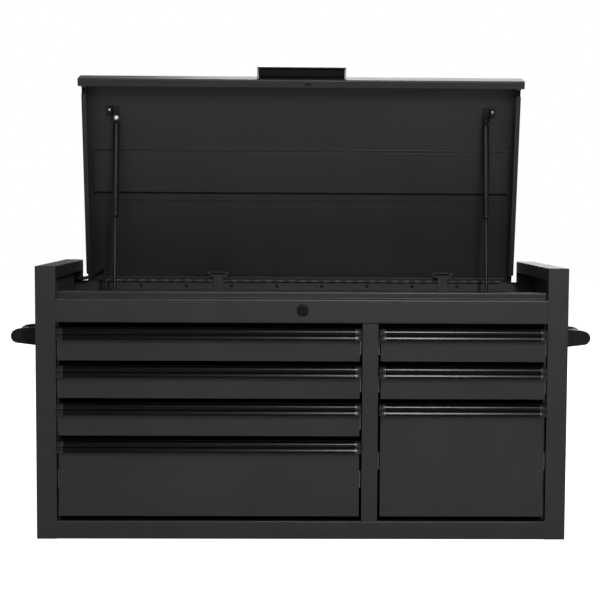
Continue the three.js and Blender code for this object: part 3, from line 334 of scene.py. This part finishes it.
def carried(name, section, start, end, sharp=40, swing=None):
    """A closed section (y, z) carried straight from one x to another, with both ends filled. swing is a
    function that moves the points afterwards."""
    x = np.array([start, end])[:, None]
    points = np.stack(np.broadcast_arrays(x, section[None, :, 0], section[None, :, 1]), -1)
    return surface(name, swing(points) if swing else points, close_v=True, cap=True, sharp=sharp)


def pull_section(top, y, proud=0.0, solid=False):
    """The pull's outline (y, z): up the back plate, round the shoulder to the crease, out by a tight brow,
    down the nose's broad face and under its lip. Brow, nose and lip each start where the one before ends,
    with the same normal. A solid section is closed straight down the back."""
    facing = lambda angle: np.array([-cos(radians(angle)), sin(radians(angle))])
    shoulder = np.array([y - shoulder_ahead, top - shoulder_round])
    at_brow = shoulder + shoulder_round * facing(-crease_dip) - brow_round * facing(90)
    at_nose = at_brow + (brow_round - nose_round) * facing(180 - nose_start)
    at_lip = at_nose + (nose_round - lip_round) * facing(0)
    over = lambda grow: bend_points(shoulder, shoulder_round + grow, 90, 180 + crease_dip, 16)
    under = lambda grow: np.vstack([
        bend_points(at_brow, brow_round + grow, 90, nose_start, 7),
        bend_points(at_nose, nose_round + grow, nose_start, 180, 14)[1:],
        bend_points(at_lip, lip_round + grow, 180, 270, 9)[1:],
    ])
    foot, back = top - pull_drop, y - seat_gap
    if solid:
        return np.vstack([[[back, foot - proud], [back, top + proud]], over(proud), under(proud)])
    outside = [[[back, foot], [back, top]], over(0), under(0)]
    plate = [[y - plate_front, top - pull_wall], [y - plate_front, foot]]
    return np.vstack([*outside, under(-pull_wall)[::-1], over(-pull_wall)[::-1], plate])


for row in rows:
    low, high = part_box(row + "_pull")
    left_x, right_x, top = low[0], high[0], high[2] - cap_proud
    grip = carried(row + "_grip", pull_section(top, front_y), left_x + grip_inset, right_x - grip_inset,
                   sharp=50)
    dress(trim, grip)
    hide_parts(row + "_pull")
    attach(grip, row)
    outlines = [pull_section(top, front_y, proud, True) for proud in (-rim_inset, cap_proud, cap_proud)]
    for side, x, inwards in (("left", left_x, 1), ("right", right_x, -1)):
        ends = [x, x + inwards * cap_edge, x + inwards * cap_reach]
        points = np.stack([
            np.stack(np.broadcast_arrays(end, outline[:, 0], outline[:, 1]), -1)
            for end, outline in zip(ends, outlines)
        ])
        cap = surface(f"{row}_{side}_cap", points[:, ::inwards], close_v=True, cap=True, sharp=50)
        dress(cap_plastic, cap)
        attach(cap, row)

# Slides: three nested zinc-plated channels a side, the fixed one on a rack or the divider, the middle one
# free between, and the inner one on the drawer. The racks and the middle ones show the plating.
zinc = finish("zinc plate", (0.42, 0.42, 0.43), (0.34, 0.34, 0.35), 0.34, spread=0.14, grain=300,
              depth=0.00002, clouds=40, rub=0.15, metallic=0.55)
slides = [f"{row}_slide_{side}" for row in rows for side in ("left", "right")]
dress(zinc, "left_slide_rack", "right_slide_rack", *slides)

# Lid stiffener: a shallow hat folded from the case's sheet across the inside of the lid, spot welded along
# its two flanges. Its section is drawn with the lid shut and swung up with the lid.
hinge_y, hinge_z, lid_angle = 0.2223, 0.490, radians(78.8)


def on_lid(points):
    """Points (x, y, z) of the shut lid, measured from the hinge, swung open about it: y' = y cos a + z sin a
    and z' = z cos a - y sin a."""
    x, y, z = np.moveaxis(np.asarray(points, float), -1, 0)
    return np.stack([x, hinge_y + y * cos(lid_angle) + z * sin(lid_angle),
                     hinge_z + z * cos(lid_angle) - y * sin(lid_angle)], -1)


hat_half, hat_near, hat_far = 0.4552, -0.2860, -0.1860
hat_flange, hat_slope, hat_seat, hat_depth = 0.014, 0.005, 0.0445, 0.0045
hat_sheet, fold_share = 0.0012, 0.42
hat_crown = hat_seat - hat_depth
fold = hat_sheet * fold_share
hat_section = np.array([
    [hat_far + hat_flange, hat_seat], [hat_far, hat_seat], [hat_far - hat_slope, hat_crown],
    [hat_near + hat_slope, hat_crown], [hat_near, hat_seat], [hat_near - hat_flange, hat_seat],
    [hat_near - hat_flange, hat_seat - hat_sheet], [hat_near + fold, hat_seat - hat_sheet],
    [hat_near + hat_slope + fold, hat_crown - hat_sheet], [hat_far - hat_slope - fold, hat_crown - hat_sheet],
    [hat_far - fold, hat_seat - hat_sheet], [hat_far + hat_flange, hat_seat - hat_sheet],
])
hat = carried("lid_hat", hat_section, -hat_half, hat_half, sharp=30, swing=on_lid)
dress(charcoal, hat)
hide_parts("lid_stiffener")
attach(hat, "lid")

# Lid handle: a black channel along the lid's front flange, hollow underneath for the fingers, with a
# moulded cap at each end. It is drawn with the lid shut, too.
handle_face, handle_top, handle_reach, handle_drop, handle_wall = -0.4451, 0.022, 0.024, 0.022, 0.0018
corner_round, curl_round, curl_drop, corner_in, corner_drop = 0.0044, 0.0022, 0.0108, 0.0062, 0.0050
grip_half, handle_cap_start, handle_cap_end = 0.0922, 0.092, 0.0955


def handle_section(solid=False):
    """The lid handle's outline (y, z): a back plate, a round shoulder, a flat face and a lip, curled inwards
    by half a turn. A solid section has a quarter turn and is closed straight to the back plate's foot."""
    out, foot = handle_face - handle_reach, handle_top - handle_drop
    back = [[handle_face, foot], [handle_face, handle_top]]
    shoulder = bend_points((out + corner_round, handle_top - corner_round), corner_round, 90, 180, 9)
    lip = bend_points((out + curl_round, handle_top - curl_drop), curl_round, 180, 270 if solid else 360, 12)
    if solid:
        return np.vstack([back, shoulder, lip])
    roof, plate = handle_top - handle_wall, handle_face - handle_wall
    inside = [[out + corner_round, handle_top - corner_drop], [out + corner_in, roof],
              [plate, roof], [plate, foot]]
    return np.vstack([back, shoulder, lip, inside])


grip = carried("lid_grip", handle_section(), -grip_half, grip_half, sharp=50, swing=on_lid)
handle_ends = (("left", -handle_cap_end, -handle_cap_start), ("right", handle_cap_start, handle_cap_end))
caps = [carried(f"lid_{side}_cap", handle_section(True), start, end, sharp=50, swing=on_lid)
        for side, start, end in handle_ends]
dress(trim, grip)
dress(cap_plastic, *caps)
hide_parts("lid_handle")
for piece in (grip, *caps):
    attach(piece, "lid")

# Screws: domed heads with a cross recess, here the black ones that hold the two leaves of the piano hinge.
# The same head, bright or black, is used on the struts' lid brackets and on the side handles.
fixings_black = finish("black screws", (0.010, 0.010, 0.011), (0.014, 0.014, 0.015), 0.30, grain=900,
                       depth=0.00001, metallic=0.6)
fixings_bright = finish("bright screws", (0.72, 0.72, 0.72), (0.60, 0.60, 0.61), 0.34, grain=900,
                        depth=0.00001, metallic=1.0)


def screw(name, place, out, radius, material, body):
    """A domed head on a grid of rings: height = (0.12 + 0.40 (1 - (r / R)^2)) R, less 0.38 R in a cross-
    shaped recess. The first ring is the head's seat."""
    rim_share, dome_share, recess_share, arm_share, reach_share = 0.12, 0.40, 0.38, 0.11, 0.62
    ring_shares = np.array([1.0, 1.0, 0.94, 0.8, 0.66, 0.6, 0.5, 0.4, 0.3, 0.2, 0.1, 0.02])[:, None]
    out = np.asarray(out, float) / np.linalg.norm(out)
    side = np.cross(out, [0.3, 0.5, 1.0] if abs(out[2]) < 0.9 else [1, 0, 0])
    side /= np.linalg.norm(side)
    over = np.cross(out, side)
    angle = np.linspace(0, 2 * pi, 48, endpoint=False)[None, :]
    a, b = ring_shares * np.cos(angle), ring_shares * np.sin(angle)
    low, high = np.minimum(abs(a), abs(b)), np.maximum(abs(a), abs(b))
    cross = (low < arm_share) & (high < reach_share)
    height = rim_share + dome_share * (1 - ring_shares ** 2) - recess_share * cross
    height[0] = 0.0
    shape = a[..., None] * side + b[..., None] * over + height[..., None] * out
    head = surface(name, np.asarray(place, float) + radius * shape, close_v=True, cap=True, sharp=35)
    dress(material, head)
    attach(head, body)


hinge_screw, first_screw, last_screw, screw_pitch = 0.0036, -0.352, 0.35, 0.1
leaf_front, case_leaf_drop, lid_leaf_front, lid_leaf_rise = 0.0020, 0.0105, 0.0019, 0.0125
off_leaf = on_lid([0, -1.0, 0]) - on_lid([0, 0, 0])
for i, x in enumerate(np.arange(first_screw, last_screw, screw_pitch)):
    place = (x, hinge_y + leaf_front - seat_gap, hinge_z - case_leaf_drop)
    screw(f"hinge_screw_{i + 1}", place, (0, -1, 0), hinge_screw, fixings_black, "case")
    place = on_lid([x, lid_leaf_front, lid_leaf_rise])
    screw(f"lid_hinge_screw_{i + 1}", place, off_leaf, hinge_screw, fixings_black, "lid")

# Gas struts: a black nitrided rod in a black enamelled tube, with an eye on a pin at the foot and a ball
# socket at the lid, bright on the left and black on the right. A pressed bracket holds either end, and the
# one on the lid shows a bright screw.
strut_x, rod_radius, bore, tube_radius, tube_length, ball_gap = 0.401, 0.0035, 0.0044, 0.0072, 0.206, 0.010
eye_radius, eye_half, socket_radius, socket_start, socket_end = 0.0065, 0.004, 0.0066, -1.15, 1.45
lid_inside, bracket_sheet, bracket_screw, screw_aside, screw_back = 0.0448, 0.0016, 0.0034, 0.0078, -0.3700
strut_black = finish("strut enamel", (0.006, 0.006, 0.0065), (0.009, 0.009, 0.0095), 0.42, grain=800,
                     depth=0.00001, level=0.2)
nitrided = finish("nitrided rod", (0.012, 0.012, 0.013), (0.018, 0.018, 0.019), 0.34, metallic=0.3, grain=600,
                  depth=0.000005, level=0.25)
bright = finish("bright steel", (0.85, 0.85, 0.85), (0.78, 0.78, 0.79), 0.46, metallic=1.0, grain=400,
                depth=0.000005)


def revolved(name, profile, base, axis, sides=36, sharp=35, ring=False):
    """A profile (radius, distance along the axis) turned about an axis; a ring profile is a closed loop."""
    axis = np.asarray(axis, float) / np.linalg.norm(axis)
    side = np.cross(axis, [1.0, 0.2, 0.1] if abs(axis[0]) < 0.9 else [0, 1, 0])
    side /= np.linalg.norm(side)
    over = np.cross(axis, side)
    profile = np.asarray(profile, float)
    angle = np.linspace(0, 2 * pi, sides, endpoint=False)[None, :, None]
    points = (np.asarray(base, float) + profile[:, 1, None, None] * axis
              + profile[:, 0, None, None] * (np.cos(angle) * side + np.sin(angle) * over))
    return surface(name, points[:, ::-1], close_u=ring, close_v=True, cap=not ring, sharp=sharp)


foot = np.array([0.0, 0.1183, 0.4520])
ball = on_lid([0.0, -0.3560, 0.0250])
strut_length = np.linalg.norm(ball - foot)
strut_axis = (ball - foot) / strut_length
end = strut_length - ball_gap
rod_profile = [[0.0034, 0.005], [rod_radius, 0.006], [rod_radius, strut_length - 0.187],
               [0.003, strut_length - 0.186]]
eye_profile = [[0.0034, -0.0035], [0.0036, -eye_half], [0.0059, -eye_half], [eye_radius, -0.0033],
               [eye_radius, 0.0033], [0.0059, eye_half], [0.0036, eye_half], [0.0034, 0.0035]]
tube_profile = [
    [bore, end - 0.006], [bore, end - 0.2055], [0.0050, end - tube_length], [0.0064, end - tube_length],
    [tube_radius, end - 0.2045], [tube_radius, end - 0.199], [0.0069, end - 0.1975],
    [tube_radius, end - 0.196], [tube_radius, end - 0.005], [0.0066, end - 0.002], [0.0050, end],
    [0.0036, end], [0.0034, end + 0.005],
]
turn = np.linspace(socket_start, socket_end, 12)
socket_profile = np.stack([socket_radius * np.cos(turn), strut_length + socket_radius * np.sin(turn)], -1)
off_lid = on_lid([0, 0, -1.0]) - on_lid([0, 0, 0])
for side, outwards in (("left", -1), ("right", 1)):
    base = foot + [outwards * strut_x, 0, 0]
    rod = revolved(side + "_rod", rod_profile, base, strut_axis)
    eye = revolved(side + "_eye", eye_profile, base, (1, 0, 0), ring=True)
    tube = revolved(side + "_tube", tube_profile, base, strut_axis)
    socket = revolved(side + "_ball_socket", socket_profile, base, strut_axis)
    dress(nitrided, rod)
    dress(strut_black, eye, tube)
    dress(bright if side == "left" else strut_black, socket)
    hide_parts(side + "_strut_rod")
    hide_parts(side + "_strut_tube")
    for piece, body, kind in ((rod, "rod", "bright_steel"), (eye, "rod", "black_paint"),
                              (tube, "tube", "black_paint"), (socket, "tube", "bright_steel")):
        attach(piece, f"{side}_strut_{body}")
    screw_x = outwards * (strut_x + tube_radius + bracket_sheet) + outwards * screw_aside
    place = on_lid([screw_x, screw_back, lid_inside - seat_gap - bracket_sheet])
    screw(f"{side}_lid_bracket_screw", place, off_lid, bracket_screw, fixings_bright, "lid")
    dress(strut_black, f"{side}_strut_floor_bracket", f"{side}_strut_lid_bracket")

# Lock: a black bezel with a rounded rim round a black key plug, in the middle of the top rail. The two lock
# bars behind the drawers, in the case's coat, are pushed down by the lid as it shuts.
lock_height, bezel_sides = 0.452, 48
bezel_profile = [[0.0066, 0.0002], [0.0066, 0.0024], [0.0072, 0.0029], [0.0098, 0.0029], [0.0110, 0.0022],
                 [0.0116, 0.0010], [0.0116, 0.0002]]
lock_black = finish("lock black", (0.005, 0.005, 0.0055), (0.007, 0.007, 0.0075), 0.5, grain=900,
                    depth=0.00001, level=0.12)
dress(lock_black, "lock_housing", "key_plug")
dress(charcoal, "left_lock_bar", "right_lock_bar")
lock_place = (0, front_y - seat_gap, lock_height)
bezel = revolved("lock_bezel", bezel_profile, lock_place, (0, -1, 0), bezel_sides, ring=True)
dress(lock_black, bezel)
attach(bezel, "case")

# Side handles: two flared arms and a round grip each, moulded in black plastic with a fine grain. Four black
# screws hold each of them to its side panel.
handle_screw, handle_x, screw_ys, screw_zs = 0.0030, 0.5238, (-0.0455, 0.0455), (0.408, 0.368)
grip_plastic = finish("handle plastic", (0.0045, 0.0045, 0.005), (0.0065, 0.0065, 0.007), 0.5, grain=700,
                      depth=0.00008, edge=0.0012, level=0.16)
dress(grip_plastic, "left_side_handle", "right_side_handle")
for side, sign in (("left", -1), ("right", 1)):
    for i, (y, z) in enumerate([(y, z) for y in screw_ys for z in screw_zs]):
        screw(f"{side}_handle_screw_{i + 1}", (sign * handle_x, y, z), (sign, 0, 0), handle_screw,
              fixings_black, "case")

# Power strip: a black moulded bar with five outlets, on the till's left wall. Each outlet is a square plastic
# plate in a shallow recess, with two slots and an earth hole, whose inner shade is painted as black inlays.
outlet_count, strip_start, strip_length, strip_z = 5, -0.170, 0.272, 0.485
outlet_size, outlet_thick, outlet_corner, outlet_sunk = (0.0262, 0.0262), 0.0014, 0.0045, 0.0012
mark_thick, mark_lift, width_to_corner = 0.0001, 0.00015, 2.2
marks = (("slot_a", -0.0040, 0.0032, (0.0068, 0.0018)), ("slot_b", -0.0040, -0.0032, (0.0082, 0.0018)),
         ("earth", 0.0060, 0, (0.0050, 0.0050)))
dress(moulded, "power_strip")
face_plastic = finish("outlet plastic", (0.020, 0.020, 0.021), (0.026, 0.026, 0.027), 0.38, grain=1200,
                      depth=0.00003)
# Black inlays on the outlets: painted shade in the slots and earth holes.
slot_painted_shade = finish("slot painted shade", (0.002, 0.002, 0.002), (0.003, 0.003, 0.003), 0.7, grain=900,
                      depth=0.00001)
strip_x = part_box("power_strip")[1][0]


def tile(name, x, y, z, size, thick, corner, material):
    """A plate facing +X with rounded corners: three rings of a rounded rectangle, the last one drawn in by
    half the thickness."""
    wall_share = 0.6
    rings = []
    for lift, inset in ((0, 0), (thick * wall_share, 0), (thick, thick / 2)):
        half_y, half_z, r = size[0] / 2 - inset, size[1] / 2 - inset, corner - inset / 2
        corners = [bend_points((sy * (half_y - r), sz * (half_z - r)), r, start, start + 90, 6)
                   for sy, sz, start in ((1, 1, 0), (-1, 1, 90), (-1, -1, 180), (1, -1, 270))]
        loop = np.vstack(corners)
        rings.append(np.stack([np.full(len(loop), x + lift), y + loop[:, 0], z + loop[:, 1]], -1))
    piece = surface(name, np.stack(rings), close_v=True, cap=True, sharp=35)
    dress(material, piece)
    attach(piece, "case")


for i in range(outlet_count):
    y, outlet = strip_start + strip_length * (i + 0.5) / outlet_count, f"outlet_{i + 1}"
    tile(outlet, strip_x - outlet_sunk, y, strip_z, outlet_size, outlet_thick, outlet_corner, face_plastic)
    for mark, dy, dz, size in marks:
        tile(f"{outlet}_{mark}", strip_x + mark_lift, y + dy, strip_z + dz, size, mark_thick,
             min(size) / width_to_corner, slot_painted_shade)

# Studio: a plain pale floor and a white surround, a wide soft light overhead, a small key and a broad fill
# in front, and fills behind and at both sides. A narrow upright lamp in front adds only reflections, for the
# highlights along the pulls.
floor_half, floor_z, floor_glow = 12, -0.0005, 0.93
floor_mirrored, world_mirrored, room_light = 0.15, 0.13, 0.14
floor_corners = [(x * floor_half, y * floor_half, floor_z) for x, y in ((-1, -1), (1, -1), (1, 1), (-1, 1))]
floor_mesh = bpy.data.meshes.new("floor")
floor_mesh.from_pydata(floor_corners, [], [(0, 1, 2, 3)])
floor = bpy.data.objects.new("floor", floor_mesh)
bpy.context.scene.collection.objects.link(floor)


def seen_white(tree, mirrored_share):
    """A mask that is 1 where the camera looks straight, a share of it in a reflection or through glass, and
    0 for the light that falls on things."""
    seen = step(tree, "LightPath")
    mirrored = step(tree, "Math", {"operation": "MAXIMUM"}, i0=seen.outputs["Is Glossy Ray"],
                    i1=seen.outputs["Is Transmission Ray"])
    whole = step(tree, "Math", {"operation": "MULTIPLY_ADD"}, i0=mirrored.outputs["Value"], i1=mirrored_share,
                 i2=seen.outputs["Is Camera Ray"])
    return whole.outputs["Value"]


pale = bpy.data.materials.new("pale floor")
pale.use_nodes = True
tree = pale.node_tree
shader = tree.nodes["Principled BSDF"]
shader.inputs["Base Color"].default_value = (0.86, 0.86, 0.86, 1)
shader.inputs["Roughness"].default_value = 0.9
glow = step(tree, "Math", {"operation": "MULTIPLY"}, i0=seen_white(tree, floor_mirrored), i1=floor_glow)
shader.inputs["Emission Color"].default_value = (1, 1, 1, 1)
tree.links.new(glow.outputs["Value"], shader.inputs["Emission Strength"])
dress(pale, floor)


def soft_light(name, place, aim, size, power):
    """A rectangular lamp at a place, turned to face a point."""
    lamp = bpy.data.lights.new(name, "AREA")
    lamp.shape, lamp.size, lamp.size_y, lamp.energy = "RECTANGLE", size[0], size[1], power
    light = bpy.data.objects.new(name, lamp)
    bpy.context.scene.collection.objects.link(light)
    back = np.array(place, float) - np.array(aim, float)
    back /= np.linalg.norm(back)
    side = np.cross([0, 0, 1] if abs(back[2]) < 0.99 else [0, 1, 0], back)
    side /= np.linalg.norm(side)
    over = np.cross(back, side)
    light.matrix_world = Matrix([[side[i], over[i], back[i], place[i]] for i in range(3)] + [[0, 0, 0, 1]])
    return light


chest_front = (0, -0.2, 0.4)
overhead = soft_light("overhead", place=(0.1, -0.4, 2.9), aim=(0, -0.1, 0.3), size=(2.6, 1.6), power=25)
overhead.visible_glossy = False
key = soft_light("key", place=(0.45, -3.6, 2.5), aim=chest_front, size=(0.45, 0.45), power=11)
key.visible_glossy = False
glint = soft_light("glint", place=(0.52, -3.6, 2.3), aim=chest_front, size=(0.20, 1.30), power=120)
glint.visible_diffuse = False
fill = soft_light("fill", place=(-0.2, -4.7, 2.1), aim=(0, 0, 0.4), size=(3.5, 2.5), power=64)
fill.visible_glossy = False
soft_light("back_fill", place=(0.9, 4.6, 2.4), aim=(0, 0.2, 0.4), size=(3.0, 2.2), power=75)
for side, x in (("left", -4.4), ("right", 4.4)):
    side_fill = soft_light(side + "_fill", place=(x, -0.5, 1.8), aim=(0, 0, 0.4), size=(2.4, 2.0), power=28)
    side_fill.visible_glossy = False
world = bpy.context.scene.world or bpy.data.worlds.new("world")
bpy.context.scene.world = world
world.use_nodes = True
tree = world.node_tree
tree.nodes.clear()
strength = step(tree, "MapRange", None, Value=seen_white(tree, world_mirrored), To_Min=room_light, To_Max=1.0)
sky = step(tree, "Background", None, Color=(1, 1, 1, 1), Strength=strength.outputs["Result"])
step(tree, "OutputWorld", None, Surface=sky.outputs["Background"])
bpy.context.scene.view_settings.view_transform = "Standard"
